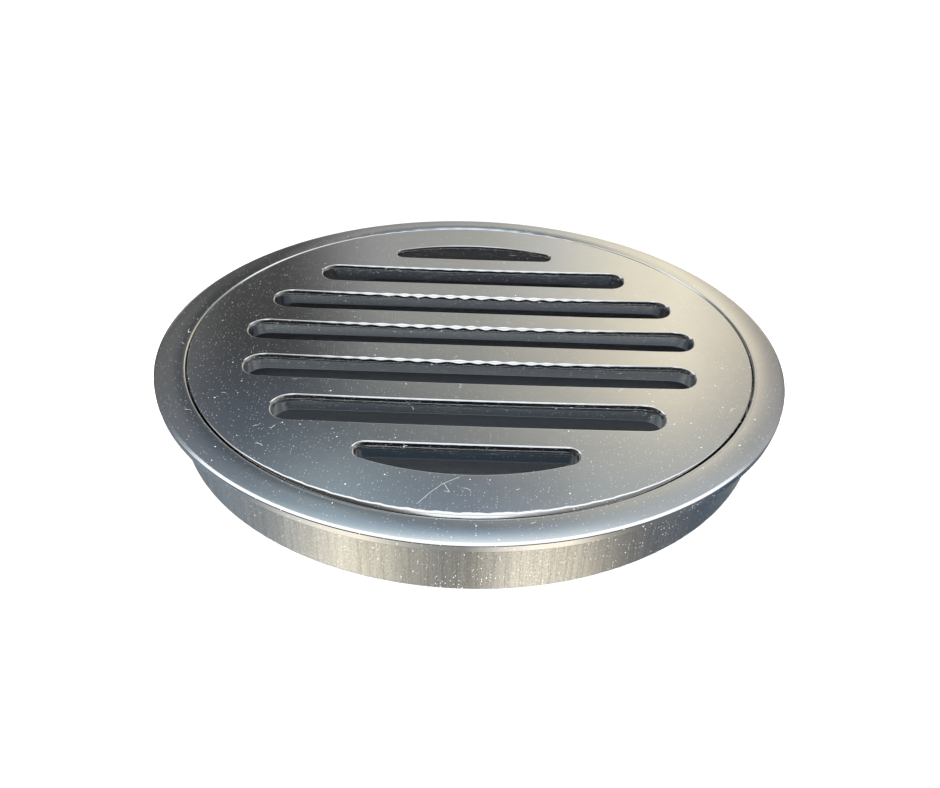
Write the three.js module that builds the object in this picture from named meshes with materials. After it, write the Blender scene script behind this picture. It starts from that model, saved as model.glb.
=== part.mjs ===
// Round floor drain grate: a slotted disc that drops into a flanged frame with a short outlet sleeve.
// Millimetres, +Z up. The origin is the centre of the sleeve's lower rim.
import * as THREE from 'three';

// Driving dimensions
const FLANGE_DIAMETER = 110;
const FLANGE_THICKNESS = 1.2;
const OUTLET_DIAMETER = 103.5;
const OUTLET_WALL = 1;
const GRATE_DIAMETER = 99.3;
const GRATE_THICKNESS = 3;
const GRATE_TOP = 11.35;
const GRATE_CLEARANCE = 0.2;
const SLOT_COUNT = 7;
const SLOT_PITCH = 12.4;
const SLOT_WIDTH = 6.4;
const SLOT_CIRCLE_DIAMETER = 81;
const END_SLOT_DIAMETER = 80.2;
const END_SLOT_SETBACK = 0.3;
const DISH_DEPTH = 0.5;
const DISH_DIAMETER = 90;
const GASKET_THICKNESS = 0.6;
const GASKET_WIDTH = 2.7;
const LEDGE_INNER_DIAMETER = 92;
const LEDGE_THICKNESS = 1.4;

// Edges, small gaps and fineness
const GRATE_EDGE_RADIUS = 0.9;
const END_SLOT_CORNER_RADIUS = 1.7;
const FLANGE_EDGE_RADIUS = 0.45;
const BORE_LIP_RADIUS = 0.45;
const FLANGE_CROWN = 0.05;
const UNDERSIDE_CHAMFER = 0.15;
const OUTLET_CHAMFER = 0.3;
const SOLDER_GAP = 0.15;
const SLEEVE_RECESS_DEPTH = 0.4;
const GASKET_CLEARANCE = 0.25;
const TURN_SEGMENTS = 96;
const EDGE_STEPS = 3;
const CROWN_STEPS = 4;
const SLOT_ARC_STEPS = 9;
const SLOT_SIDE_STEPS = 8;
const LONG_ARC_STEPS = 14;

// Worked out from the dimensions above
const flangeRadius = FLANGE_DIAMETER / 2;
const outletRadius = OUTLET_DIAMETER / 2;
const grateRadius = GRATE_DIAMETER / 2;
const boreRadius = grateRadius + GRATE_CLEARANCE;
const neckRadius = outletRadius - OUTLET_WALL - SOLDER_GAP;
const ledgeRadius = LEDGE_INNER_DIAMETER / 2;
const slotCircleRadius = SLOT_CIRCLE_DIAMETER / 2;
const endSlotRadius = END_SLOT_DIAMETER / 2;
const flangeUnderside = GRATE_TOP - FLANGE_THICKNESS;
const sleeveTop = flangeUnderside + SLEEVE_RECESS_DEPTH;
const grateUnderside = GRATE_TOP - GRATE_THICKNESS;
const ledgeTop = grateUnderside - GASKET_THICKNESS;
const ledgeUnderside = ledgeTop - LEDGE_THICKNESS;

function metal(color, roughness) {
  return new THREE.MeshStandardMaterial({ color, roughness, metalness: 1 });
}

function rubber(color, roughness) {
  return new THREE.MeshStandardMaterial({ color, roughness, metalness: 0 });
}

// Points along an arc of a section or an outline, with angles in degrees
function arc(centreX, centreY, radius, from, to, steps) {
  const points = [];
  for (let step = 0; step <= steps; step += 1) {
    const angle = THREE.MathUtils.degToRad(from + ((to - from) * step) / steps);
    points.push(new THREE.Vector2(centreX + radius * Math.cos(angle), centreY + radius * Math.sin(angle)));
  }
  return points;
}

function point(x, y) {
  return new THREE.Vector2(x, y);
}

// A ring turned about the Z axis from a section of (radius, height) points, which closes on itself
function turnedRing(name, section, material) {
  const geometry = new THREE.LatheGeometry([...section, section[0]], TURN_SEGMENTS);
  const ring = new THREE.Mesh(geometry, material);
  ring.name = name;
  ring.rotation.x = Math.PI / 2;
  return ring;
}

// The flange's top is a shallow crown between its rounded outer edge and the lip of the bore
function crownSection(innerRadius, outerRadius) {
  const points = [];
  for (let step = 0; step <= CROWN_STEPS; step += 1) {
    const along = step / CROWN_STEPS;
    const rise = FLANGE_CROWN * 4 * along * (1 - along);
    points.push(point(outerRadius + (innerRadius - outerRadius) * along, GRATE_TOP + rise));
  }
  return points;
}

// Flange, neck and seat ledge are one turned piece, with a shallow recess below that takes the sleeve's top
function makeFlangeRing() {
  const edgeCentreRadius = flangeRadius - FLANGE_EDGE_RADIUS;
  const edgeCentreHeight = GRATE_TOP - FLANGE_EDGE_RADIUS;
  const lipCentreRadius = boreRadius + BORE_LIP_RADIUS;
  const lipCentreHeight = GRATE_TOP - BORE_LIP_RADIUS;
  const section = [
    point(ledgeRadius, ledgeUnderside),
    point(neckRadius, ledgeUnderside),
    point(neckRadius, sleeveTop),
    point(outletRadius + SOLDER_GAP, sleeveTop),
    point(outletRadius + SOLDER_GAP, flangeUnderside),
    point(flangeRadius - UNDERSIDE_CHAMFER, flangeUnderside),
    point(flangeRadius, flangeUnderside + UNDERSIDE_CHAMFER),
    ...arc(edgeCentreRadius, edgeCentreHeight, FLANGE_EDGE_RADIUS, 0, 90, EDGE_STEPS).slice(0, -1),
    ...crownSection(lipCentreRadius, edgeCentreRadius).slice(0, -1),
    ...arc(lipCentreRadius, lipCentreHeight, BORE_LIP_RADIUS, 90, 180, EDGE_STEPS),
    point(boreRadius, ledgeTop),
    point(ledgeRadius, ledgeTop),
  ];
  return turnedRing('flange_ring', section, metal(0xb9bcc0, 0.12));
}

// Thin sleeve round the neck, which stands in the drain pipe
function makeOutletSleeve() {
  const section = [
    point(outletRadius - OUTLET_WALL, 0),
    point(outletRadius - OUTLET_CHAMFER, 0),
    point(outletRadius, OUTLET_CHAMFER),
    point(outletRadius, sleeveTop),
    point(outletRadius - OUTLET_WALL, sleeveTop),
  ];
  return turnedRing('outlet_sleeve', section, metal(0xa9a595, 0.3));
}

// Flat ring between the grate and its ledge
function makeSeatGasket() {
  const outerRadius = boreRadius - GASKET_CLEARANCE;
  const innerRadius = outerRadius - GASKET_WIDTH;
  const section = [
    point(innerRadius, ledgeTop),
    point(outerRadius, ledgeTop),
    point(outerRadius, grateUnderside),
    point(innerRadius, grateUnderside),
  ];
  return turnedRing('seat_gasket', section, rubber(0x1b1c1e, 0.8));
}

// Points along a slot's straight side, without its ends, so that the side can follow the dish
function slotSide(fromX, toX, y) {
  const points = [];
  for (let step = 1; step < SLOT_SIDE_STEPS; step += 1) {
    points.push(point(fromX + ((toX - fromX) * step) / SLOT_SIDE_STEPS, y));
  }
  return points;
}

// A slot with half-round ends that touch the slot circle
function straightSlot(offset) {
  const endRadius = SLOT_WIDTH / 2;
  const endCentre = Math.sqrt((slotCircleRadius - endRadius) ** 2 - offset ** 2);
  return new THREE.Path([
    ...arc(endCentre, offset, endRadius, -90, 90, SLOT_ARC_STEPS),
    ...slotSide(endCentre, -endCentre, offset + endRadius),
    ...arc(-endCentre, offset, endRadius, 90, 270, SLOT_ARC_STEPS),
    ...slotSide(-endCentre, endCentre, offset - endRadius),
  ]);
}

// The outermost slots sit a little nearer the middle, with one straight side and one that follows a circle
function endSlot(offset) {
  const side = Math.sign(offset);
  const straightSide = Math.abs(offset) - SLOT_WIDTH / 2 - END_SLOT_SETBACK;
  const corner = END_SLOT_CORNER_RADIUS;
  const cornerHeight = straightSide + corner;
  const cornerCentre = Math.sqrt((endSlotRadius - corner) ** 2 - cornerHeight ** 2);
  const meets = THREE.MathUtils.radToDeg(Math.atan2(cornerHeight, cornerCentre));
  const outline = [
    ...arc(cornerCentre, cornerHeight, corner, -90, meets, SLOT_ARC_STEPS),
    ...arc(0, 0, endSlotRadius, meets, 180 - meets, LONG_ARC_STEPS).slice(1, -1),
    ...arc(-cornerCentre, cornerHeight, corner, 180 - meets, 270, SLOT_ARC_STEPS),
    ...slotSide(-cornerCentre, cornerCentre, straightSide),
  ];
  return new THREE.Path(outline.map(({ x, y }) => point(x, side * y)));
}

// The disc's top sinks gently towards its middle, so that water runs to the slots
function dishDepth(x, y) {
  const share = Math.min(1, Math.hypot(x, y) / (DISH_DIAMETER / 2));
  return DISH_DEPTH * (1 - share * share);
}

// Lowers the upper half of an extruded disc into the dish and leaves its underside flat
function dishTop(geometry, halfHeight) {
  const corners = geometry.attributes.position;
  for (let index = 0; index < corners.count; index += 1) {
    const height = corners.getZ(index);
    if (height > halfHeight) {
      corners.setZ(index, height - dishDepth(corners.getX(index), corners.getY(index)));
    }
  }
  geometry.computeVertexNormals();
}

// The disc is cut right through by the slots, and every edge is rounded on both faces
function makeGratePlate() {
  const outline = new THREE.Shape(arc(0, 0, grateRadius, 0, 360, TURN_SEGMENTS).slice(0, -1));
  const outermost = (SLOT_COUNT - 1) / 2;
  for (let row = -outermost; row <= outermost; row += 1) {
    const makeSlot = Math.abs(row) === outermost ? endSlot : straightSlot;
    outline.holes.push(makeSlot(row * SLOT_PITCH));
  }
  const wallHeight = GRATE_THICKNESS - 2 * GRATE_EDGE_RADIUS;
  const geometry = new THREE.ExtrudeGeometry(outline, {
    depth: wallHeight,
    bevelThickness: GRATE_EDGE_RADIUS,
    bevelSize: GRATE_EDGE_RADIUS,
    bevelOffset: -GRATE_EDGE_RADIUS,
    bevelSegments: EDGE_STEPS,
  });
  dishTop(geometry, wallHeight / 2);
  const plate = new THREE.Mesh(geometry, metal(0xb4b6b8, 0.15));
  plate.name = 'grate_plate';
  plate.position.z = grateUnderside + GRATE_EDGE_RADIUS;
  return plate;
}

const frame = new THREE.Group();
frame.add(makeFlangeRing(), makeOutletSleeve());

const liftOut = new THREE.Group();
liftOut.add(makeSeatGasket(), makeGratePlate());

const drainGrate = new THREE.Group();
drainGrate.add(frame, liftOut);

export default drainGrate;
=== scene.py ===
"""Looks of a round floor drain grate: polished slotted disc, flanged frame, outlet sleeve and seat gasket.

Metres, in the CAD frame: +Z up, the origin at the centre of the sleeve's lower rim, +X along the slots.
"""
import math

import bmesh
import bpy
from mathutils import Matrix, Vector


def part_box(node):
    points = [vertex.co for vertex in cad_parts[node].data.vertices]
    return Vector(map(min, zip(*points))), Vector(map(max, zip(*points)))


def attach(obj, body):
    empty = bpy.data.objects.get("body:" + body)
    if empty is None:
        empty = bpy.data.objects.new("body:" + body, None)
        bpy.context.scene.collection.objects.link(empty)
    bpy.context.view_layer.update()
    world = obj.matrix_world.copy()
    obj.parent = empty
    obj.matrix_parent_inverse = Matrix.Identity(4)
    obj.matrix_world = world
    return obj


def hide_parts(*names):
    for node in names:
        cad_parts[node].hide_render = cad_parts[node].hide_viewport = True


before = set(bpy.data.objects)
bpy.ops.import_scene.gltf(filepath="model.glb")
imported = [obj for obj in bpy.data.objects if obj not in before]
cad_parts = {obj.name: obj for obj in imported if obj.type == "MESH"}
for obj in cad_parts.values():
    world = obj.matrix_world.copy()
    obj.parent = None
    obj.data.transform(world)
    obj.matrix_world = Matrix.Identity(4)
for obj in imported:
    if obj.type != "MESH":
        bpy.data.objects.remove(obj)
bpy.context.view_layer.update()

MM = 0.001

# Sizes of the CAD part, in millimetres, that its boxes don't give
SLOT_COUNT = 7
OUTERMOST_ROW = (SLOT_COUNT - 1) // 2
SLOT_PITCH = 12.4
SLOT_WIDTH = 6.4
SLOT_CIRCLE_RADIUS = 40.5
END_SLOT_RADIUS = 40.1
END_SLOT_SETBACK = 0.3
GRATE_EDGE_RADIUS = 0.9
DISH_DEPTH = 0.5
DISH_RADIUS = 45.0
END_SLOT_CORNER_RADIUS = 1.7
GASKET_WIDTH = 2.7
BORE_RADIUS = 49.85
NECK_RADIUS = 50.6
LEDGE_RADIUS = 46.0
LEDGE_THICKNESS = 1.4
RECESS_RADIUS = 51.9
FLANGE_THICKNESS = 1.2
FLANGE_CROWN = 0.05
SLEEVE_WALL = 1.0

# Edges of the slots: near and end edges in the top face, and every edge in the underside
NEAR_EDGE_RADIUS = 0.6
END_EDGE_RADIUS = 0.3
UNDERSIDE_RADIUS = 0.2

# The flange's edges: a soft lip round the bore, and outside a narrow chamfer over a nearly sharp corner
LIP_RADIUS = 0.45
CHAMFER_WIDTH = 0.55
CHAMFER_DROP = 0.11
CHAMFER_ROUNDING = 1.0

# At the back of the ring the lip rolls down more gently, and its polish is uneven
BACK_ROLL_DEPTH = 0.36
BACK_ROLL_WIDTH = 2.6
BACK_ROLL_SPREAD = 52.0
BACK_ROLL_PERIOD = 4.0
BACK_ROLL_UNEVENNESS = 0.22
BACK_ROLL_WANDER = 0.9
BACK_ROLL_WANDERS_ROUND = 23

# Fineness
TURN_SEGMENTS = 480
CORNER_STEPS = 8
CROWN_STEPS = 14
EDGE_STEPS = 10
UNDERSIDE_STEPS = 5
SLOT_END_STEPS = 36
SLOT_CORNER_STEPS = 24
SLOT_ARC_STEPS = 120
SIDE_SPACING = 0.3
FLOOR_SEGMENTS = 96

# The camera: its place and lens in millimetres, its turns in radians
CAMERA_PLACE = (0.472, -133.233, 85.957)
CAMERA_LENS = 31.98
CAMERA_ELEVATION = 0.510467
CAMERA_AZIMUTH = 0.003545
CAMERA_ROLL = 0.031077
CAMERA_YAW = -0.001163
CAMERA_PITCH = -0.071391


def box_mm(node):
    low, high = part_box(node)
    return low / MM, high / MM


def placed(name, data):
    """A new object that is in the scene."""
    thing = bpy.data.objects.new(name, data)
    bpy.context.scene.collection.objects.link(thing)
    return thing


def clamped(value):
    return min(1.0, max(0.0, value))


# ---------------------------------------------------------------- turned rings

def corner_arc(before, corner, after, radius, steps):
    """(place, normal) points that round one corner of a section, with places as (radius, height)."""
    corner = Vector(corner)
    into = (corner - Vector(before)).normalized()
    out = (Vector(after) - corner).normalized()
    turn = into.cross(out)
    angle = into.angle(out)
    cut = radius * math.tan(angle / 2)
    side = 1 if turn > 0 else -1
    start = corner - into * cut
    centre = start + Vector((-into.y, into.x)) * side * radius
    points = []
    for step in range(steps + 1):
        turned = Matrix.Rotation(side * angle * step / steps, 2) @ (start - centre)
        points.append((centre + turned, turned.normalized() * side))
    return points


def rounded_section(corners, steps):
    """A closed section, anticlockwise, from (radius, height, rounding) corners."""
    section = []
    for index, (x, y, radius) in enumerate(corners):
        before = corners[index - 1][:2]
        after = corners[(index + 1) % len(corners)][:2]
        section += corner_arc(before, (x, y), after, radius, steps)
    return section


def turned_mesh(name, section, roll=None):
    """Turns a section about Z. roll(angle, place) gives how far a place is lowered, with its two slopes."""
    bm = bmesh.new()
    rings = []
    normals = []
    for segment in range(TURN_SEGMENTS):
        angle = 2 * math.pi * segment / TURN_SEGMENTS
        outward = Vector((math.cos(angle), math.sin(angle), 0))
        along = Vector((-math.sin(angle), math.cos(angle), 0))
        ring = []
        for place, normal in section:
            drop, slope_across, slope_round = roll(angle, place) if roll else (0, 0, 0)
            spot = outward * place.x + Vector((0, 0, place.y - drop))
            ring.append(bm.verts.new(spot * MM))
            facing = outward * (normal.x + slope_across) + along * slope_round + Vector((0, 0, normal.y))
            normals.append(facing.normalized())
        rings.append(ring)
    for segment, ring in enumerate(rings):
        following = rings[(segment + 1) % TURN_SEGMENTS]
        for index in range(len(ring)):
            after = (index + 1) % len(ring)
            bm.faces.new((ring[index], following[index], following[after], ring[after]))
    return finished_object(name, bm, normals)


def finished_object(name, bm, normals):
    """A smooth piece with a normal of its own at every corner."""
    mesh = bpy.data.meshes.new(name)
    bm.to_mesh(mesh)
    bm.free()
    mesh.polygons.foreach_set("use_smooth", [True] * len(mesh.polygons))
    mesh.normals_split_custom_set_from_vertices(normals)
    return placed(name, mesh)


def crowned(section, inner, outer, top):
    """Adds the flange's shallow crown to the points that lie on its top."""
    tolerance = 1e-4
    result = []
    for index, (place, normal) in enumerate(section):
        following = section[(index + 1) % len(section)][0]
        result.append((place, normal))
        if abs(place.y - top) < tolerance and abs(following.y - top) < tolerance:
            for step in range(1, CROWN_STEPS):
                result.append((place.lerp(following, step / CROWN_STEPS), Vector((0, 1))))
    lifted = []
    for place, normal in result:
        along = (place.x - inner) / (outer - inner)
        if abs(place.y - top) < tolerance and 0 <= along <= 1:
            rise = FLANGE_CROWN * 4 * along * (1 - along)
            slope = FLANGE_CROWN * 4 * (1 - 2 * along) / (outer - inner)
            lifted.append((place + Vector((0, rise)), Vector((-slope, 1)).normalized()))
        else:
            lifted.append((place, normal))
    return lifted


def back_roll(angle, place, top):
    """How far the lip drops at the back of the ring, with its slopes across and round the ring."""
    from_back = math.degrees(angle) - 90
    across = (place.x - BORE_RADIUS) / BACK_ROLL_WIDTH
    if abs(from_back) > BACK_ROLL_SPREAD or across > 1 or place.y < top - LIP_RADIUS - 0.01:
        return 0, 0, 0
    fade = math.cos(math.radians(90 * from_back / BACK_ROLL_SPREAD)) ** 2
    rate = 2 * math.pi / BACK_ROLL_PERIOD
    phase = rate * BORE_RADIUS * angle + BACK_ROLL_WANDER * math.sin(angle * BACK_ROLL_WANDERS_ROUND)
    depth = BACK_ROLL_DEPTH * fade
    drop = depth * (1 - across) ** 2
    slope_across = -2 * depth * (1 - across) / BACK_ROLL_WIDTH
    slope_round = -drop * BACK_ROLL_UNEVENNESS * rate * math.sin(phase)
    return drop * (1 + BACK_ROLL_UNEVENNESS * math.cos(phase)), slope_across, slope_round


def make_flange_ring():
    low, high = box_mm("flange_ring")
    outer = high.x
    top = box_mm("grate_plate")[1].z
    underside = top - FLANGE_THICKNESS
    sleeve_top = box_mm("outlet_sleeve")[1].z
    ledge_top = low.z + LEDGE_THICKNESS
    corners = [
        (LEDGE_RADIUS, low.z, 0.2),
        (NECK_RADIUS, low.z, 0.2),
        (NECK_RADIUS, sleeve_top, 0.05),
        (RECESS_RADIUS, sleeve_top, 0.05),
        (RECESS_RADIUS, underside, 0.1),
        (outer, underside, 0.15),
        (outer, top - CHAMFER_DROP, 0.12),
        (outer - CHAMFER_WIDTH, top, CHAMFER_ROUNDING),
        (BORE_RADIUS, top, LIP_RADIUS),
        (BORE_RADIUS, ledge_top, 0.1),
        (LEDGE_RADIUS, ledge_top, 0.2),
    ]
    section = rounded_section(corners, CORNER_STEPS)
    chamfer_turn = math.atan2(CHAMFER_DROP, CHAMFER_WIDTH)
    crown_end = outer - CHAMFER_WIDTH - CHAMFER_ROUNDING * math.tan(chamfer_turn / 2)
    section = crowned(section, BORE_RADIUS + LIP_RADIUS, crown_end, top)
    return turned_mesh("polished_flange", section, lambda angle, place: back_roll(angle, place, top))


def make_sleeve():
    low, high = box_mm("outlet_sleeve")
    inner = high.x - SLEEVE_WALL
    corners = [
        (inner, low.z, 0.15),
        (high.x, low.z, 0.3),
        (high.x, high.z, 0.1),
        (inner, high.z, 0.1),
    ]
    return turned_mesh("drawn_sleeve", rounded_section(corners, CORNER_STEPS))


def make_gasket():
    low, high = box_mm("seat_gasket")
    inner = high.x - GASKET_WIDTH
    corners = [
        (inner, low.z, 0.15),
        (high.x, low.z, 0.15),
        (high.x, high.z, 0.15),
        (inner, high.z, 0.15),
    ]
    return turned_mesh("rubber_gasket", rounded_section(corners, CORNER_STEPS // 2))


# ---------------------------------------------------------------- the slotted plate

def outline_arc(centre, radius, start, end, steps, hollow=True):
    """(place, wall normal) along an arc, with angles in degrees. Inside a hollow arc's circle is no metal."""
    towards = 1 if hollow else -1
    points = []
    for step in range(steps + 1):
        angle = math.radians(start + (end - start) * step / steps)
        outward = Vector((math.cos(angle), math.sin(angle)))
        points.append((Vector(centre) + outward * radius, outward * -towards))
    return points


def straight_run(start, end, normal):
    """Points between two places, without the ends."""
    start = Vector(start)
    end = Vector(end)
    count = max(2, round((end - start).length / SIDE_SPACING))
    return [(start.lerp(end, step / count), Vector(normal)) for step in range(1, count)]


def straight_slot(offset):
    """A slot with half-round ends that touch the slot circle."""
    radius = SLOT_WIDTH / 2
    reach = math.sqrt((SLOT_CIRCLE_RADIUS - radius) ** 2 - offset ** 2)
    far = offset + radius
    near = offset - radius
    return [
        *outline_arc((reach, offset), radius, -90, 90, SLOT_END_STEPS),
        *straight_run((reach, far), (-reach, far), (0, -1)),
        *outline_arc((-reach, offset), radius, 90, 270, SLOT_END_STEPS),
        *straight_run((-reach, near), (reach, near), (0, 1)),
    ]


def end_slot(offset):
    """An outermost slot has one straight side and follows a circle on the other."""
    side = math.copysign(1, offset)
    straight = abs(offset) - SLOT_WIDTH / 2 - END_SLOT_SETBACK
    corner = END_SLOT_CORNER_RADIUS
    height = straight + corner
    reach = math.sqrt((END_SLOT_RADIUS - corner) ** 2 - height ** 2)
    meets = math.degrees(math.atan2(height, reach))
    points = [
        *outline_arc((reach, height), corner, -90, meets, SLOT_CORNER_STEPS),
        *outline_arc((0, 0), END_SLOT_RADIUS, meets, 180 - meets, SLOT_ARC_STEPS)[1:-1],
        *outline_arc((-reach, height), corner, 180 - meets, 270, SLOT_CORNER_STEPS),
        *straight_run((-reach, straight), (reach, straight), (0, 1)),
    ]
    if side > 0:
        return points
    return [(Vector((p.x, -p.y)), Vector((n.x, -n.y))) for p, n in reversed(points)]


# How strongly each row's far edge is beaded, from the front row to the back one
BEAD_STRENGTH = [0.02, 0.06, 0.6, 0.72, 0.8, 0.22, 0.0]
# The radius that each row's far edge is worked out from, from the front row to the back one, in mm
FAR_EDGE_RADIUS = [1.15, 1.05, 0.9, 0.9, 0.9, 0.9, 0.65]
BEAD_PERIOD = 3.25
BEAD_REACH = 30.0
# Beads are only where the wall's normal has a Y below this, which is the straight stretch of a far edge
BEADED_FACING = -0.9
# What stays of a bead between two of them, and how far each row's beads are shifted, as a phase
BEAD_FLOOR = 0.12
BEAD_ROW_SHIFT = 1.9
# Two slow waves of (mm, mm per radian, phase per row) that keep the beads from being evenly spaced
BEAD_WANDERS = [(0.45, 4.1, 2.0), (0.2, 1.7, 1.0)]


def bead_share(place, normal, row):
    """How much of a bead shows at this place: the polish swells in small lenses along the far edges."""
    if row is None or normal.y > BEADED_FACING:
        return 0.0
    fade = max(0.0, 1 - (place.x / BEAD_REACH) ** 2)
    wander = sum(size * math.sin(place.x / length + shift * row) for size, length, shift in BEAD_WANDERS)
    wave = 0.5 + 0.5 * math.cos(2 * math.pi * (place.x + wander) / BEAD_PERIOD + BEAD_ROW_SHIFT * row)
    return BEAD_STRENGTH[row + OUTERMOST_ROW] * fade * (BEAD_FLOOR + (1 - BEAD_FLOOR) * wave)


# The disc's own rim: how far round from the front its fuller rounding reaches, in degrees, and the radii that
# its edge is worked out from. It isn't softened below, so where it is plain it has CRISP_SHARE of its radius
RIM_REACH = 44
RIM_RADIUS = 0.5
RIM_FRONT_EXTRA = 0.35
RIM_BEAD = 0.8
# The rim's polish is uneven by ripples of (size, degrees per radian, phase)
RIM_EVENNESS = 0.86
RIM_RIPPLES = [(0.08, 0.8, 0), (0.06, 0.37, 1)]


def rim_share(place):
    """The disc's own rim is rounded more, and less evenly, at the front."""
    from_front = math.degrees(math.atan2(place.x, -place.y))
    fade = max(0.0, 1 - (from_front / RIM_REACH) ** 2)
    ripples = sum(size * math.sin(from_front / length + phase) for size, length, phase in RIM_RIPPLES)
    return fade * (RIM_EVENNESS + ripples)


# An edge's radius changes as the edge turns down: a plain edge starts with a small share of its radius and
# gets softer, and a bead starts full and gets slimmer. Each change is (first degree, degrees it takes).
CRISP_SHARE = 0.3
SOFTENED_BELOW = 1.25
SOFTENS = (42, 18)
BEAD_SHARE = 1.85
BEAD_SLIMMED_BELOW = 1.35
BEAD_SLIMS = (48, 6)


def turned_share(degrees, start, over):
    """0 before an edge has turned by start degrees, and 1 from over degrees further on."""
    return clamped((degrees - start) / over)


def edge_profile(crisp, beaded, bead, softening=SOFTENED_BELOW):
    """(inset, drop, angle) points of a rounded edge: crisp above and softer below, or fuller where beaded."""
    fine = 4
    steps = EDGE_STEPS * fine
    across = 0.0
    down = 0.0
    points = [(0.0, 0.0, 0.0)]
    for step in range(steps):
        degrees = 90 * (step + 0.5) / steps
        turn = math.radians(90 / steps)
        sharp = crisp * (CRISP_SHARE + softening * turned_share(degrees, *SOFTENS))
        full = beaded * (BEAD_SHARE - BEAD_SLIMMED_BELOW * turned_share(degrees, *BEAD_SLIMS))
        radius = sharp * (1 - bead) + full * bead
        across += radius * math.cos(math.radians(degrees)) * turn
        down += radius * math.sin(math.radians(degrees)) * turn
        if (step + 1) % fine == 0:
            points.append((across, down, math.radians(90 * (step + 1) / steps)))
    reach = points[-1][0]
    return [(reach - inset, drop, angle) for inset, drop, angle in points]


def dish(place):
    return DISH_DEPTH * max(0.0, 1 - (place.length / DISH_RADIUS) ** 2)


# The Y of a wall's normal tells its edge: a far edge below -END_FACING, an end edge up to END_FACING,
# and then one that widens to a near edge over the next NEAR_SPREAD
END_FACING = 0.2
NEAR_SPREAD = 0.7


def place_profile(place, normal, row):
    """The rounded edge's section at one place of an outline; row is None on the disc's own rim."""
    if row is None:
        share = rim_share(place)
        return edge_profile(RIM_RADIUS + RIM_FRONT_EXTRA * share, GRATE_EDGE_RADIUS, share * RIM_BEAD, 0.0)
    if normal.y < -END_FACING:
        bead = bead_share(place, normal, row)
        return edge_profile(FAR_EDGE_RADIUS[row + OUTERMOST_ROW], GRATE_EDGE_RADIUS, bead)
    nearness = clamped((normal.y - END_FACING) / NEAR_SPREAD)
    radius = END_EDGE_RADIUS + (NEAR_EDGE_RADIUS - END_EDGE_RADIUS) * nearness
    angles = [math.radians(90 * step / EDGE_STEPS) for step in range(EDGE_STEPS + 1)]
    return [(radius * (1 - math.sin(angle)), radius * (1 - math.cos(angle)), angle) for angle in angles]


def plate_rings(bm, normals, outline, row, top, bottom):
    """The wall of one outline with its rounded edges, from the top face's border to the bottom face's."""
    sections = [place_profile(place, normal, row) for place, normal in outline]
    rings = []
    for level in range(EDGE_STEPS + 1):
        spots = []
        for (place, normal), section in zip(outline, sections):
            inset, drop, _ = section[level]
            flat = place - normal * inset
            spots.append(Vector((flat.x, flat.y, top - dish(place) - drop)))
        for index, (place, normal) in enumerate(outline):
            angle = sections[index][level][2]
            surface = Vector((normal.x * math.sin(angle), normal.y * math.sin(angle), math.cos(angle)))
            normals.append(surface.normalized())
        rings.append([bm.verts.new(spot * MM) for spot in spots])
    for step in range(UNDERSIDE_STEPS + 1):
        angle = math.radians(90 - 90 * step / UNDERSIDE_STEPS)
        ring = []
        for place, normal in outline:
            flat = place + normal * UNDERSIDE_RADIUS * (math.sin(angle) - 1)
            height = bottom + UNDERSIDE_RADIUS * (1 - math.cos(angle))
            ring.append(bm.verts.new(Vector((flat.x, flat.y, height)) * MM))
            surface = Vector((normal.x * math.sin(angle), normal.y * math.sin(angle), -math.cos(angle)))
            normals.append(surface.normalized())
        rings.append(ring)
    return rings


def make_grate_plate():
    low, high = box_mm("grate_plate")
    bm = bmesh.new()
    normals = []
    outlines = [(None, outline_arc((0, 0), high.x, 0, 360, TURN_SEGMENTS, hollow=False)[:-1])]
    for row in range(-OUTERMOST_ROW, OUTERMOST_ROW + 1):
        make_slot = end_slot if abs(row) == OUTERMOST_ROW else straight_slot
        outlines.append((row, make_slot(row * SLOT_PITCH)))
    borders = {0: [], -1: []}
    for row, outline in outlines:
        rings = plate_rings(bm, normals, outline, row, high.z, low.z)
        for upper, lower in zip(rings, rings[1:]):
            for index in range(len(upper)):
                after = (index + 1) % len(upper)
                corners = (upper[index], lower[index], lower[after], upper[after])
                bm.faces.new(corners if row is None else corners[::-1])
        for level in borders:
            ring = rings[level]
            for index in range(len(ring)):
                after = ring[(index + 1) % len(ring)]
                borders[level].append(bm.edges.get((ring[index], after)))
    for level, edges in borders.items():
        up = Vector((0, 0, 1 if level == 0 else -1))
        filled = bmesh.ops.triangle_fill(bm, use_beauty=True, edges=edges, normal=up)
        faces = [item for item in filled["geom"] if isinstance(item, bmesh.types.BMFace)]
        for face in faces:
            if face.normal.dot(up) < 0:
                face.normal_flip()
    return finished_object("polished_grate", bm, normals)


# ---------------------------------------------------------------- node helpers

def add(tree, kind, settings=None, **sockets):
    """Adds a node. Socket values are constants or other nodes' outputs."""
    node = tree.nodes.new(kind)
    for key, value in (settings or {}).items():
        setattr(node, key, value)
    for key, value in sockets.items():
        plug(tree, node.inputs[key.replace("_", " ")], value)
    return node


def plug(tree, socket, value):
    """Links a socket to a node's output, or sets it to a constant."""
    if isinstance(value, bpy.types.NodeSocket):
        tree.links.new(value, socket)
    else:
        socket.default_value = value


def calc(tree, operation, *values):
    """One step of arithmetic on constants or other nodes' outputs."""
    node = tree.nodes.new("ShaderNodeMath")
    node.operation = operation
    for socket, value in zip(node.inputs, values):
        plug(tree, socket, value)
    return node.outputs[0]


def blend_colours(tree, factor, first, second):
    node = tree.nodes.new("ShaderNodeMix")
    node.data_type = "RGBA"
    plug(tree, node.inputs[0], factor)
    plug(tree, node.inputs[6], first)
    plug(tree, node.inputs[7], second)
    return node.outputs[2]


def blend_values(tree, factor, first, second):
    node = tree.nodes.new("ShaderNodeMix")
    plug(tree, node.inputs[0], factor)
    plug(tree, node.inputs[2], first)
    plug(tree, node.inputs[3], second)
    return node.outputs[0]


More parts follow.
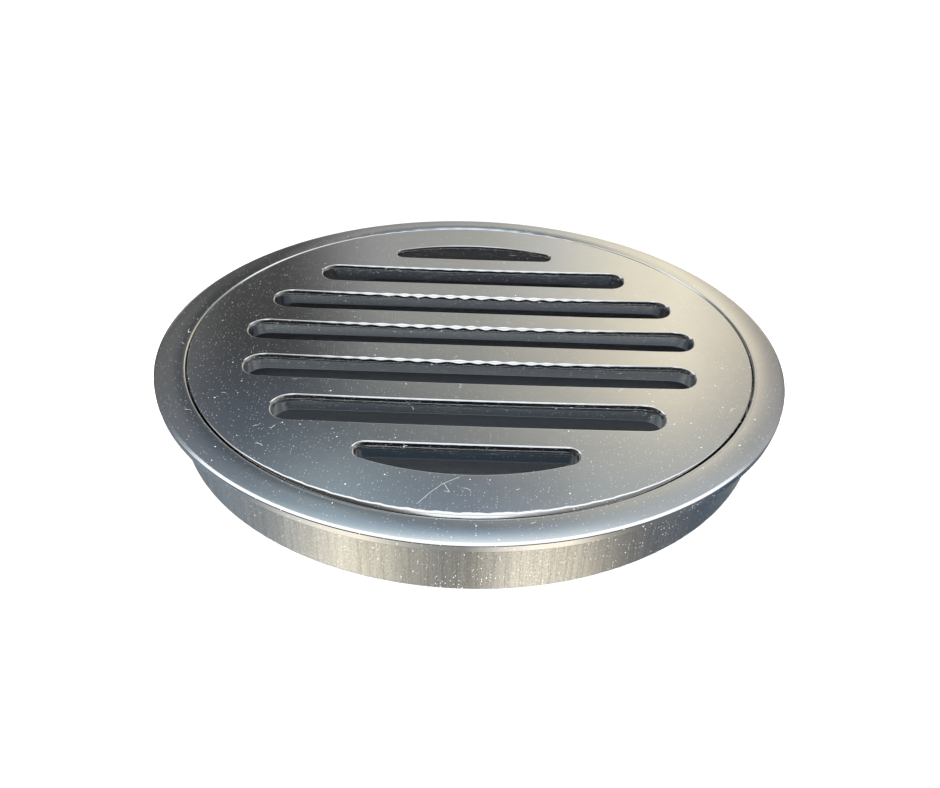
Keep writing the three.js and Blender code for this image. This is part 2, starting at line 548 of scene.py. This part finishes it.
def smooth_step(tree, value, low, high):
    node = add(tree, "ShaderNodeMapRange", {"interpolation_type": "SMOOTHSTEP"}, Value=value)
    node.inputs["From Min"].default_value = low
    node.inputs["From Max"].default_value = high
    return node.outputs[0]


def ramp(tree, factor, stops):
    """A colour ramp from (position, colour) stops."""
    node = add(tree, "ShaderNodeValToRGB", Fac=factor)
    elements = node.color_ramp.elements
    while len(elements) > 1:
        elements.remove(elements[-1])
    for index, (position, colour) in enumerate(stops):
        element = elements[0] if index == 0 else elements.new(position)
        element.position = position
        element.color = (*colour, 1)
    return node.outputs["Color"]


# ---------------------------------------------------------------- materials

CHROME = (0.62, 0.62, 0.62)
DRAWN_STEEL = (0.74, 0.73, 0.70)
DUST_COLOUR = (0.50, 0.50, 0.48, 1)
DUST_ROUGHNESS = 0.7
BUMP_DEPTH = 0.02
# Radii, in mm, at which the rings' surfaces are unrolled
FLANGE_UNROLLED = 52.5
SLEEVE_UNROLLED = 51.75
GASKET_UNROLLED = 48.0
# How far the plate's pattern moves sideways, in X and Y, for each mm of depth
WALL_SHEAR = (1.7, 2.3)
# Two fine fibres that lie on the plate's front, as (x, y) places
LAID_FIBRES = [
    [(-1.0, -41.3), (-3.3, -42.9), (-5.0, -45.0), (-6.4, -47.2)],
    [(-3.1, -42.8), (-2.2, -44.6), (-3.0, -44.4)],
]
LAID_FIBRE_THICKNESS = 0.06
LAID_FIBRE_SHARE = 0.32


def empty_material(name, shader_kind):
    material = bpy.data.materials.new(name)
    material.use_nodes = True
    tree = material.node_tree
    tree.nodes.clear()
    output = tree.nodes.new("ShaderNodeOutputMaterial")
    shader = tree.nodes.new(shader_kind)
    tree.links.new(shader.outputs[0], output.inputs["Surface"])
    return material, tree, shader


def new_material(name):
    return empty_material(name, "ShaderNodeBsdfPrincipled")


def shade(colour, share):
    """A darker share of a colour."""
    return tuple(channel * share for channel in colour)


def add_bump(tree, shader, height, strength):
    bump = add(tree, "ShaderNodeBump", Height=height)
    bump.inputs["Strength"].default_value = strength
    bump.inputs["Distance"].default_value = BUMP_DEPTH * MM
    plug(tree, shader.inputs["Normal"], bump.outputs[0])


def sheared_surface(tree):
    """Flat coordinates in mm for the plate: X and Y on its top, moved on by the depth on its walls."""
    spot = add(tree, "ShaderNodeTexCoord").outputs["Object"]
    parts = add(tree, "ShaderNodeSeparateXYZ", Vector=spot)
    depth = calc(tree, "SUBTRACT", parts.outputs["Z"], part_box("grate_plate")[1].z)
    x = calc(tree, "MULTIPLY_ADD", depth, WALL_SHEAR[0], parts.outputs["X"])
    y = calc(tree, "MULTIPLY_ADD", depth, WALL_SHEAR[1], parts.outputs["Y"])
    flat = add(tree, "ShaderNodeCombineXYZ", X=x, Y=y)
    scaled = add(tree, "ShaderNodeVectorMath", {"operation": "SCALE"}, Vector=flat.outputs[0])
    scaled.inputs["Scale"].default_value = 1 / MM
    return scaled.outputs[0]


def wrapped_surface(tree, radius):
    """Flat coordinates in mm for a ring: round it, and across it from the bore to the lower rim."""
    spot = add(tree, "ShaderNodeTexCoord").outputs["Object"]
    parts = add(tree, "ShaderNodeSeparateXYZ", Vector=spot)
    angle = calc(tree, "ARCTAN2", parts.outputs["Y"], parts.outputs["X"])
    around = calc(tree, "MULTIPLY", angle, radius)
    squares = calc(tree, "MULTIPLY", parts.outputs["X"], parts.outputs["X"])
    squares = calc(tree, "MULTIPLY_ADD", parts.outputs["Y"], parts.outputs["Y"], squares)
    across = calc(tree, "SUBTRACT", calc(tree, "SQRT", squares), parts.outputs["Z"])
    across = calc(tree, "MULTIPLY", across, 1 / MM)
    return add(tree, "ShaderNodeCombineXYZ", X=around, Y=across).outputs[0]


def noise(tree, flat, size, detail=2.0, stretch=(1, 1, 1)):
    """Noise whose features are about size mm across, longer along an axis by its stretch."""
    scale = add(tree, "ShaderNodeVectorMath", {"operation": "DIVIDE"}, Vector=flat)
    scale.inputs[1].default_value = stretch
    node = add(tree, "ShaderNodeTexNoise", {"noise_dimensions": "2D"}, Vector=scale.outputs[0])
    node.inputs["Scale"].default_value = 1 / size
    node.inputs["Detail"].default_value = detail
    return node.outputs["Fac"]


def specks(tree, flat, spacing, radius, share):
    """Round dust specks: about one in a share of the cells, each of its own size."""
    cells = add(tree, "ShaderNodeTexVoronoi", {"voronoi_dimensions": "2D"}, Vector=flat)
    cells.inputs["Scale"].default_value = 1 / spacing
    picks = add(tree, "ShaderNodeSeparateColor", Color=cells.outputs["Color"])
    chosen = calc(tree, "LESS_THAN", picks.outputs[0], share)
    size = calc(tree, "MULTIPLY_ADD", picks.outputs[1], radius / spacing, 0.4 * radius / spacing)
    near = calc(tree, "DIVIDE", cells.outputs["Distance"], size)
    inside = calc(tree, "SUBTRACT", 1.0, smooth_step(tree, near, 0.6, 1.1))
    return calc(tree, "MULTIPLY", inside, chosen)


def fibres(tree, flat, spacing, length, thickness, share):
    """Short curved fibres and fine scratches, one in a share of the cells, each turned its own way."""
    full_turn = 6.28
    most_bent = 0.6
    cells = add(tree, "ShaderNodeTexVoronoi", {"voronoi_dimensions": "2D"}, Vector=flat)
    cells.inputs["Scale"].default_value = 1 / spacing
    cells.inputs["Randomness"].default_value = 0.7
    picks = add(tree, "ShaderNodeSeparateColor", Color=cells.outputs["Color"])
    away = add(tree, "ShaderNodeVectorMath", {"operation": "SUBTRACT"}, Vector=flat)
    tree.links.new(cells.outputs["Position"], away.inputs[1])
    turned = add(tree, "ShaderNodeVectorRotate", {"rotation_type": "Z_AXIS"}, Vector=away.outputs[0])
    tree.links.new(calc(tree, "MULTIPLY", picks.outputs[0], full_turn), turned.inputs["Angle"])
    parts = add(tree, "ShaderNodeSeparateXYZ", Vector=turned.outputs[0])
    bow = calc(tree, "MULTIPLY", parts.outputs["X"], parts.outputs["X"])
    bend = calc(tree, "MULTIPLY_ADD", picks.outputs[1], 2 * most_bent, -most_bent)
    bow = calc(tree, "MULTIPLY", bow, bend)
    sideways = calc(tree, "ABSOLUTE", calc(tree, "SUBTRACT", parts.outputs["Y"], bow))
    thin = calc(tree, "SUBTRACT", 1.0, smooth_step(tree, sideways, thickness * 0.5, thickness))
    reach = calc(tree, "MULTIPLY", picks.outputs[2], length)
    short = calc(tree, "LESS_THAN", calc(tree, "ABSOLUTE", parts.outputs["X"]), reach)
    chosen = calc(tree, "LESS_THAN", picks.outputs[1], share)
    return calc(tree, "MULTIPLY", calc(tree, "MULTIPLY", thin, short), chosen)


def hair(tree, flat, places, thickness):
    """A thin fibre that lies along straight stretches between (x, y) places."""
    nearest = None
    for start, end in zip(places, places[1:]):
        run = Vector((*end, 0)) - Vector((*start, 0))
        away = add(tree, "ShaderNodeVectorMath", {"operation": "SUBTRACT"}, Vector=flat)
        away.inputs[1].default_value = (*start, 0)
        along = add(tree, "ShaderNodeVectorMath", {"operation": "DOT_PRODUCT"}, Vector=away.outputs[0])
        along.inputs[1].default_value = run.normalized()
        held = calc(tree, "MINIMUM", calc(tree, "MAXIMUM", along.outputs["Value"], 0.0), run.length)
        foot = add(tree, "ShaderNodeVectorMath", {"operation": "SCALE"}, Scale=held)
        foot.inputs[0].default_value = run.normalized()
        gap = add(tree, "ShaderNodeVectorMath", {"operation": "DISTANCE"}, Vector=away.outputs[0])
        tree.links.new(foot.outputs[0], gap.inputs[1])
        distance = gap.outputs["Value"]
        nearest = distance if nearest is None else calc(tree, "MINIMUM", nearest, distance)
    return calc(tree, "SUBTRACT", 1.0, smooth_step(tree, nearest, thickness * 0.4, thickness))


def dust(tree, flat, amount):
    """Fine specks, bigger ones and fibres together, with sizes in mm."""
    fine = specks(tree, flat, spacing=0.6, radius=0.045, share=0.4 * amount)
    coarse = specks(tree, flat, spacing=2.9, radius=0.1, share=0.25 * amount)
    lint = fibres(tree, flat, spacing=4.4, length=0.8, thickness=0.032, share=0.16 * amount)
    return calc(tree, "MAXIMUM", calc(tree, "MAXIMUM", fine, coarse), lint)


def finish_metal(tree, shader, colour, roughness, height, strength, settled):
    """Joins metal and the dust that has settled on it in one shader."""
    plug(tree, shader.inputs["Base Color"], blend_colours(tree, settled, colour, DUST_COLOUR))
    plug(tree, shader.inputs["Metallic"], calc(tree, "SUBTRACT", 1.0, settled))
    plug(tree, shader.inputs["Roughness"], blend_values(tree, settled, roughness, DUST_ROUGHNESS))
    add_bump(tree, shader, height, strength)


def polished_metal(name, tint, flat_maker, dust_amount, fibres_laid=()):
    """Bright polished plate: faint haze, a fine grain and dust."""
    material, tree, shader = new_material(name)
    flat = flat_maker(tree)
    cloud = noise(tree, flat, size=9.0, detail=3)
    grain = noise(tree, flat, size=0.22, detail=2)
    haze = noise(tree, flat, size=2.4, detail=4)
    ripple = noise(tree, flat, size=1.6, detail=2)
    colour = blend_colours(tree, cloud, (*shade(tint, 0.93), 1), (*tint, 1))
    roughness = calc(tree, "MULTIPLY_ADD", haze, 0.05, 0.07)
    roughness = calc(tree, "MULTIPLY_ADD", grain, 0.04, roughness)
    height = calc(tree, "MULTIPLY_ADD", grain, 0.5, ripple)
    settled = dust(tree, flat, dust_amount)
    for places in fibres_laid:
        laid = calc(tree, "MULTIPLY", hair(tree, flat, places, LAID_FIBRE_THICKNESS), LAID_FIBRE_SHARE)
        settled = calc(tree, "MAXIMUM", settled, laid)
    finish_metal(tree, shader, colour, roughness, height, strength=0.12, settled=settled)
    return material


def drawn_metal(name, tint):
    """Thin drawn sheet with upright streaks of several widths."""
    material, tree, shader = new_material(name)
    flat = wrapped_surface(tree, SLEEVE_UNROLLED)
    long_streaks = (1, 60, 1)
    fine = noise(tree, flat, size=0.16, detail=2, stretch=long_streaks)
    medium = noise(tree, flat, size=0.9, detail=2, stretch=long_streaks)
    broad = noise(tree, flat, size=6.0, detail=1, stretch=long_streaks)
    mottle = noise(tree, flat, size=0.3, detail=3, stretch=(1, 1.3, 1))
    streaks = calc(tree, "MULTIPLY_ADD", fine, 0.26, calc(tree, "MULTIPLY", medium, 0.22))
    streaks = calc(tree, "MULTIPLY_ADD", broad, 0.2, streaks)
    streaks = calc(tree, "MULTIPLY_ADD", mottle, 0.32, streaks)
    contrast = smooth_step(tree, streaks, 0.34, 0.66)
    colour = blend_colours(tree, contrast, (*shade(tint, 0.62), 1), (*tint, 1))
    roughness = calc(tree, "MULTIPLY_ADD", streaks, -0.12, 0.36)
    sparkle = noise(tree, flat, size=0.11, detail=1)
    height = calc(tree, "MULTIPLY_ADD", sparkle, 0.6, streaks)
    glints = specks(tree, flat, spacing=0.62, radius=0.05, share=0.3)
    settled = calc(tree, "MAXIMUM", glints, dust(tree, flat, amount=0.22))
    finish_metal(tree, shader, colour, roughness, height, strength=0.3, settled=settled)
    return material


def soft_rubber(name):
    """Matt black rubber with a fine moulded grain."""
    material, tree, shader = new_material(name)
    flat = wrapped_surface(tree, GASKET_UNROLLED)
    grain = noise(tree, flat, size=0.12, detail=3)
    bloom = noise(tree, flat, size=2.5, detail=3)
    colour = blend_colours(tree, bloom, (0.010, 0.010, 0.011, 1), (0.022, 0.022, 0.024, 1))
    plug(tree, shader.inputs["Base Color"], colour)
    plug(tree, shader.inputs["Roughness"], calc(tree, "MULTIPLY_ADD", bloom, 0.15, 0.7))
    add_bump(tree, shader, grain, strength=0.4)
    return material


# ---------------------------------------------------------------- studio

def grey(value):
    return (value, value, value)


WHITE = (1.75, 1.8, 1.85)

# Stretches of the studio that are the same over a range of angles
OVERHEAD_PANEL = [
    (-66, grey(0.3)), (-54, grey(0.9)), (-40, WHITE), (38, WHITE), (50, grey(0.72)), (66, grey(0.42)),
]
DARK_FRONT = [
    (-60, grey(0.06)), (-25, grey(0.03)), (0, (0.008, 0.012, 0.02)), (25, grey(0.04)), (60, grey(0.16)),
]
BRIGHT_GROUND = [
    (-60, (0.30, 0.34, 0.38)), (-44, (1.00, 1.00, 0.97)), (-36, (1.50, 1.42, 1.22)),
    (-27, (1.65, 1.55, 1.28)), (-18, (0.92, 0.90, 0.80)), (-9, (0.50, 0.50, 0.48)),
    (0, (0.43, 0.42, 0.40)), (9, (1.25, 1.18, 1.04)), (18, (1.80, 1.68, 1.42)),
    (27, (1.68, 1.57, 1.32)), (36, (0.66, 0.62, 0.54)), (44, grey(0.26)), (60, (0.22, 0.24, 0.27)),
]

# The studio as the metal sees it. Each band is an angle from the back horizon over the zenith to the front
# horizon and on below, with colours by the angle to the left or right of the middle plane, in degrees.
STUDIO_BANDS = [
    (0, [(-60, grey(0.12)), (-34, grey(0.5)), (-28, grey(0.6)), (-20, grey(0.22)), (-10, grey(0.34)),
         (0, grey(0.47)), (12, (0.95, 0.88, 0.70)), (40, (0.60, 0.55, 0.45)), (70, grey(0.30))]),
    (16, [(-60, grey(0.12)), (-34, grey(0.45)), (-28, grey(0.5)), (-21, grey(0.16)), (-14, grey(0.12)),
          (-10, grey(0.30)), (0, grey(0.48)), (12, (1.05, 0.97, 0.78)), (40, (0.60, 0.55, 0.45)),
          (70, grey(0.30))]),
    (24, [(-60, grey(0.14)), (-20, grey(0.13)), (-14.5, grey(0.12)), (-13, grey(0.08)),
          (-11, grey(0.18)), (-6.5, grey(0.48)), (0, (0.57, 0.57, 0.52)), (5, (0.80, 0.80, 0.76)),
          (10, (1.18, 1.11, 0.90)), (14, (1.32, 1.22, 0.97)), (18, (0.90, 0.82, 0.68)),
          (22, (0.50, 0.47, 0.40)), (30, grey(0.36)), (70, grey(0.30))]),
    (30, [(-60, grey(0.18)), (-19, grey(0.19)), (-17.5, grey(0.14)), (-16, grey(0.07)),
          (-12, grey(0.08)), (-9.5, grey(0.18)), (-6.5, (0.38, 0.39, 0.37)), (0, (0.47, 0.47, 0.44)),
          (6.5, (0.76, 0.72, 0.61)), (11, (1.12, 1.04, 0.82)), (14, (1.30, 1.20, 0.97)),
          (17, (1.00, 0.92, 0.75)), (20, (0.58, 0.54, 0.47)), (24, grey(0.38)), (40, grey(0.35)),
          (70, grey(0.30))]),
    (33.5, [(-60, grey(0.20)), (-19.5, (0.20, 0.21, 0.22)), (-17.5, (0.10, 0.115, 0.14)),
            (-12, (0.10, 0.12, 0.14)), (-8, (0.20, 0.22, 0.23)), (0, (0.41, 0.42, 0.39)),
            (8, (0.74, 0.71, 0.62)), (13.5, (1.17, 1.07, 0.86)), (18, (0.72, 0.68, 0.60)),
            (24, grey(0.42)), (60, grey(0.36))]),
    (36, [(-60, grey(0.22)), (-19.5, (0.21, 0.22, 0.24)), (-15, (0.11, 0.135, 0.17)),
          (-8, (0.19, 0.21, 0.23)), (0, (0.36, 0.37, 0.35)), (8, (0.64, 0.63, 0.58)),
          (14, (0.76, 0.75, 0.68)), (20, (0.52, 0.52, 0.51)), (60, grey(0.40))]),
    (40, [(-60, grey(0.16)), (-16, (0.24, 0.28, 0.34)), (-9, (0.44, 0.54, 0.59)),
          (-4, (0.26, 0.32, 0.37)), (0, (0.24, 0.28, 0.33)), (5, (0.36, 0.39, 0.42)),
          (9, (0.56, 0.61, 0.61)), (16, (0.64, 0.68, 0.69)), (60, grey(0.45))]),
    (43, [(-60, grey(0.18)), (-16, (0.27, 0.33, 0.38)), (-9, (0.45, 0.57, 0.67)),
          (0, (0.33, 0.41, 0.55)), (9, (0.55, 0.63, 0.67)), (16, (0.64, 0.68, 0.72)), (60, grey(0.50))]),
    (47, [(-60, grey(0.2)), (-24, (0.4, 0.5, 0.55)), (0, (0.72, 0.93, 1.05)), (9, (0.84, 0.98, 1.06)),
          (17, (0.60, 0.66, 0.70)), (28, (0.48, 0.54, 0.58)), (60, grey(0.4))]),
    (51, OVERHEAD_PANEL),
    (70, OVERHEAD_PANEL),
    (76, [(-60, grey(0.08)), (-24, grey(0.11)), (-14, grey(0.35)), (-9, WHITE), (9, WHITE),
          (15, grey(0.75)), (26, grey(0.42)), (60, grey(0.38))]),
    (90, [(-60, grey(0.08)), (-24, grey(0.11)), (-14, grey(0.35)), (-9, grey(1.0)), (9, grey(1.0)),
          (15, grey(0.65)), (26, grey(0.42)), (60, grey(0.38))]),
    (104, [(-60, grey(0.08)), (-24, grey(0.10)), (-13, grey(0.35)), (-8, WHITE), (8, WHITE),
           (14, grey(0.6)), (26, grey(0.38)), (60, grey(0.34))]),
    (124, [(-60, grey(0.08)), (-24, grey(0.10)), (-12, grey(0.3)), (-7, (1.3, 1.5, 1.6)),
           (7, (1.3, 1.5, 1.6)), (13, grey(0.45)), (26, grey(0.30)), (60, grey(0.30))]),
    (132, DARK_FRONT),
    (196, DARK_FRONT),
    (202.5, [(-60, grey(0.04)), (-18, grey(0.10)), (-6, (0.20, 0.20, 0.18)), (0, grey(0.065)),
             (10, grey(0.05)), (25, grey(0.04)), (60, grey(0.10))]),
    (205, [(-60, grey(0.03)), (-20, grey(0.05)), (-10, (0.10, 0.12, 0.13)), (0, (0.07, 0.085, 0.10)),
           (10, (0.13, 0.14, 0.15)), (20, grey(0.05)), (60, grey(0.08))]),
    (207.5, [(-60, grey(0.03)), (-20, grey(0.06)), (-10, (0.19, 0.20, 0.22)), (0, (0.22, 0.24, 0.24)),
             (10, (0.20, 0.21, 0.22)), (20, grey(0.06)), (60, grey(0.08))]),
    (211, [(-60, grey(0.03)), (-20, grey(0.07)), (-10, (0.27, 0.28, 0.29)), (0, (0.20, 0.215, 0.23)),
           (10, (0.28, 0.29, 0.29)), (20, grey(0.07)), (60, grey(0.08))]),
    (214, [(-60, grey(0.03)), (-20, grey(0.05)), (-10, (0.12, 0.145, 0.17)), (0, (0.14, 0.155, 0.17)),
           (10, (0.18, 0.20, 0.21)), (20, grey(0.06)), (60, grey(0.08))]),
    (217.5, [(-60, grey(0.03)), (-20, (0.05, 0.06, 0.075)), (0, (0.065, 0.09, 0.12)),
             (20, (0.05, 0.06, 0.075)), (60, grey(0.08))]),
    (220, [(-60, grey(0.10)), (-20, (0.30, 0.30, 0.28)), (0, (0.20, 0.21, 0.22)),
           (20, (0.30, 0.30, 0.28)), (60, grey(0.10))]),
    (223, BRIGHT_GROUND),
    (242, BRIGHT_GROUND),
    (268, [(-60, (0.36, 0.40, 0.44)), (-48, (0.34, 0.38, 0.42)), (0, (0.14, 0.16, 0.18)),
           (48, (0.19, 0.22, 0.26)), (60, (0.17, 0.20, 0.24))]),
    (294, [(-60, (0.30, 0.36, 0.43)), (-44, (0.30, 0.36, 0.43)), (0, (0.22, 0.24, 0.26)),
           (44, (0.095, 0.14, 0.20)), (60, (0.095, 0.14, 0.20))]),
    (314, [(-60, (0.22, 0.25, 0.29)), (-37, (0.24, 0.27, 0.32)), (-28, (0.30, 0.34, 0.38)),
           (-10, grey(0.25)), (0, grey(0.40)), (12, (0.62, 0.59, 0.50)), (30, grey(0.44)),
           (38, (0.20, 0.24, 0.28)), (60, grey(0.16))]),
    (340, [(-60, grey(0.12)), (-34, grey(0.3)), (-20, grey(0.16)), (-10, grey(0.25)),
           (0, (0.33, 0.37, 0.42)), (12, (0.80, 0.80, 0.66)), (40, (0.60, 0.55, 0.45)),
           (70, grey(0.30))]),
    (358, [(-60, grey(0.10)), (-34, grey(0.4)), (-28, grey(0.45)), (-20, grey(0.2)), (-10, grey(0.30)),
           (0, (0.40, 0.43, 0.46)), (12, (0.95, 0.88, 0.70)), (40, (0.60, 0.55, 0.45)),
           (70, grey(0.30))]),
]
BACKDROP = (1.0, 1.0, 1.0, 1)


def make_world():
    """A soft studio: only the metal sees its bands, and the camera sees a plain pale backdrop."""
    world = bpy.data.worlds.new("studio")
    bpy.context.scene.world = world
    world.use_nodes = True
    tree = world.node_tree
    tree.nodes.clear()
    parts = add(tree, "ShaderNodeSeparateXYZ", Vector=add(tree, "ShaderNodeTexCoord").outputs["Generated"])
    sideways = calc(tree, "ARCSINE", parts.outputs["X"])
    sideways = calc(tree, "MULTIPLY_ADD", sideways, 1 / math.pi, 0.5)
    turn = calc(tree, "ARCTAN2", parts.outputs["Z"], parts.outputs["Y"])
    turn = calc(tree, "MULTIPLY", turn, 180 / math.pi)
    turn = calc(tree, "MODULO", calc(tree, "ADD", turn, 360.0), 360.0)
    colour = None
    for index, (angle, stops) in enumerate(STUDIO_BANDS):
        band = ramp(tree, sideways, [(0.5 + degrees / 180, tone) for degrees, tone in stops])
        if index == 0:
            colour = band
        else:
            share = smooth_step(tree, turn, STUDIO_BANDS[index - 1][0], angle)
            colour = blend_colours(tree, share, colour, band)
    to_camera = add(tree, "ShaderNodeLightPath").outputs["Is Camera Ray"]
    colour = blend_colours(tree, to_camera, colour, BACKDROP)
    shader = add(tree, "ShaderNodeBackground", Color=colour)
    output = tree.nodes.new("ShaderNodeOutputWorld")
    tree.links.new(shader.outputs[0], output.inputs["Surface"])
    world.cycles_visibility.diffuse = False


# The floor, in millimetres: it lies a little below the sleeve's rim
FLOOR_INNER_RADIUS = 51.2
FLOOR_OUTER_RADIUS = 8000.0
FLOOR_DROP = 0.02


def floor_material(name, darker, lighter):
    material, tree, shader = new_material(name)
    spot = add(tree, "ShaderNodeTexCoord").outputs["Object"]
    mottle = add(tree, "ShaderNodeTexNoise", Vector=spot, Scale=9.0).outputs["Fac"]
    plug(tree, shader.inputs["Base Color"], blend_colours(tree, mottle, (*darker, 1), (*lighter, 1)))
    shader.inputs["Roughness"].default_value = 0.9
    shader.inputs["Specular IOR Level"].default_value = 0.0
    return material


def flat_circle(bm, radius, height):
    """The vertices of a level circle round the drain's axis, with its sizes in mm."""
    places = [place for place, _ in outline_arc((0, 0), radius, 0, 360, FLOOR_SEGMENTS)[:-1]]
    return [bm.verts.new(Vector((place.x, place.y, height)) * MM) for place in places]


def lay_ground(name, inner, outer, height, material):
    """A level ring of ground between two radii in mm, or a whole disc where the inner one is 0."""
    bm = bmesh.new()
    outside = flat_circle(bm, outer, height)
    if inner > 0:
        inside = flat_circle(bm, inner, height)
        for index in range(FLOOR_SEGMENTS):
            after = (index + 1) % FLOOR_SEGMENTS
            bm.faces.new((inside[index], outside[index], outside[after], inside[after]))
    else:
        bm.faces.new(outside)
    mesh = bpy.data.meshes.new(name)
    bm.to_mesh(mesh)
    bm.free()
    mesh.materials.append(material)
    ground = placed(name, mesh)
    return ground


def make_floor():
    """A plain pale floor, which the metal doesn't reflect; the ground under the drain has painted shadow: a
    darker, bluish colour.
    """
    pale = floor_material("pale_floor", (0.80, 0.80, 0.80), (0.83, 0.83, 0.83))
    # Painted shadow: the ground under the drain is coloured darker and bluer than the pale floor around it.
    painted_shadow = floor_material("painted_shadow_floor", (0.44, 0.47, 0.52), (0.48, 0.51, 0.56))
    under = lay_ground("floor_under", 0, FLOOR_INNER_RADIUS, -FLOOR_DROP, painted_shadow)
    around = lay_ground("floor", FLOOR_INNER_RADIUS, FLOOR_OUTER_RADIUS, -FLOOR_DROP, pale)
    under.visible_glossy = False
    around.visible_glossy = False


# Painted reflection and painted light: the colours that a glowing disc under the drain shows in the slot
# walls, from the front to the back, in mm. They paint the ground there with stripes of light from the slots,
# weaker towards the back.
PAINTED_GROUND_REFLECTION = [
    (-49, (0.070, 0.095, 0.12)), (-46, (0.040, 0.056, 0.075)), (-44, (0.040, 0.058, 0.078)),
    (-38.5, (0.145, 0.16, 0.175)), (-36, (0.105, 0.122, 0.14)), (-33.5, (0.048, 0.065, 0.085)),
    (-30, (0.245, 0.255, 0.265)), (-27.5, (0.185, 0.20, 0.215)), (-25, (0.12, 0.14, 0.16)),
    (-17, (0.26, 0.275, 0.28)), (-14.5, (0.215, 0.232, 0.245)), (-12, (0.115, 0.14, 0.165)),
    (-6.5, (0.20, 0.212, 0.22)), (-3.5, (0.165, 0.18, 0.195)), (-0.8, (0.085, 0.10, 0.125)),
    (3.7, (0.095, 0.108, 0.125)), (8, (0.065, 0.075, 0.088)), (11, (0.022, 0.028, 0.038)),
    (17, (0.052, 0.053, 0.058)), (50, (0.04, 0.04, 0.045)),
]
GROUND_SPAN = 100


def make_painted_ground_reflection():
    """A glowing disc under the drain, not a lamp, that paints the ground's reflection and its stripes of
    light into the metal: the camera doesn't see this disc.
    """
    material, tree, glow = empty_material("painted_ground_reflection", "ShaderNodeEmission")
    parts = add(tree, "ShaderNodeSeparateXYZ", Vector=add(tree, "ShaderNodeTexCoord").outputs["Object"])
    along = calc(tree, "MULTIPLY_ADD", parts.outputs["Y"], 1 / (GROUND_SPAN * MM), 0.5)
    colour = ramp(tree, along, [(0.5 + y / GROUND_SPAN, tone) for y, tone in PAINTED_GROUND_REFLECTION])
    # The disc's glow is painted reflection and painted light, seen only in the metal.
    plug(tree, glow.inputs["Color"], colour)
    ground = lay_ground("painted_ground_reflection", 0, FLOOR_INNER_RADIUS, 0, material)
    ground.visible_camera = False
    ground.visible_diffuse = False
    ground.visible_shadow = False
    ground.visible_transmission = False


def make_lights():
    """Two low lights, from the front and the back, and a faint one from above that reaches the slots.

    Each is (name, energy, spread and (tilt, azimuth) in degrees, colour, bounces).
    """
    lights = [
        ("front_light", 18.0, 14, (-76, 180), (1, 1, 1), 0),
        ("back_light", 18.0, 14, (-76, 0), (1, 1, 1), 0),
        ("top_light", 0.11, 20, (0, 0), (0.88, 0.96, 1.0), 1),
    ]
    for name, energy, spread, (tilt, azimuth), colour, bounces in lights:
        light = bpy.data.lights.new(name, "SUN")
        light.energy = energy
        light.angle = math.radians(spread)
        light.color = colour
        light.cycles.max_bounces = bounces
        lamp = placed(name, light)
        lamp.rotation_euler = (math.radians(tilt), 0, math.radians(azimuth))
        lamp.visible_glossy = False


def make_camera():
    camera = bpy.data.cameras.new("camera")
    camera.lens = CAMERA_LENS
    camera.sensor_width = 36
    camera.clip_start = 0.005
    camera.clip_end = 50
    holder = placed("camera", camera)
    level = math.cos(CAMERA_ELEVATION)
    back = Vector((
        math.sin(CAMERA_AZIMUTH) * level,
        -math.cos(CAMERA_AZIMUTH) * level,
        math.sin(CAMERA_ELEVATION),
    ))
    right = Vector((math.cos(CAMERA_AZIMUTH), math.sin(CAMERA_AZIMUTH), 0))
    up = back.cross(right)
    turn = Matrix.Rotation(CAMERA_YAW, 3, up)
    back = turn @ back
    right = turn @ right
    tilt = Matrix.Rotation(CAMERA_PITCH, 3, right)
    back = tilt @ back
    up = tilt @ up
    across = math.cos(CAMERA_ROLL)
    lean = math.sin(CAMERA_ROLL)
    right, up = across * right + lean * up, across * up - lean * right
    pose = Matrix((right, up, back)).transposed().to_4x4()
    pose.translation = Vector(CAMERA_PLACE) * MM
    holder.matrix_world = pose
    bpy.context.scene.camera = holder


# ---------------------------------------------------------------- assembly

def dress(piece, node, body, material):
    """Gives a piece its material, sets it on its body and hides the node that it takes the place of."""
    piece.data.materials.append(material)
    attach(piece, body)
    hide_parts(node)


make_camera()
make_floor()
make_painted_ground_reflection()
make_world()
make_lights()

flange_metal = polished_metal(
    "polished_flange_metal", CHROME, lambda tree: wrapped_surface(tree, FLANGE_UNROLLED), dust_amount=0.8)
sleeve_metal = drawn_metal("drawn_sleeve_metal", DRAWN_STEEL)
gasket_rubber = soft_rubber("gasket_rubber")
grate_metal = polished_metal(
    "polished_grate_metal", CHROME, sheared_surface, dust_amount=1.0, fibres_laid=LAID_FIBRES)

dress(make_flange_ring(), "flange_ring", "frame", flange_metal)
dress(make_sleeve(), "outlet_sleeve", "frame", sleeve_metal)
dress(make_gasket(), "seat_gasket", "seat", gasket_rubber)
dress(make_grate_plate(), "grate_plate", "grate", grate_metal)

bpy.context.scene.view_settings.view_transform = "Standard"
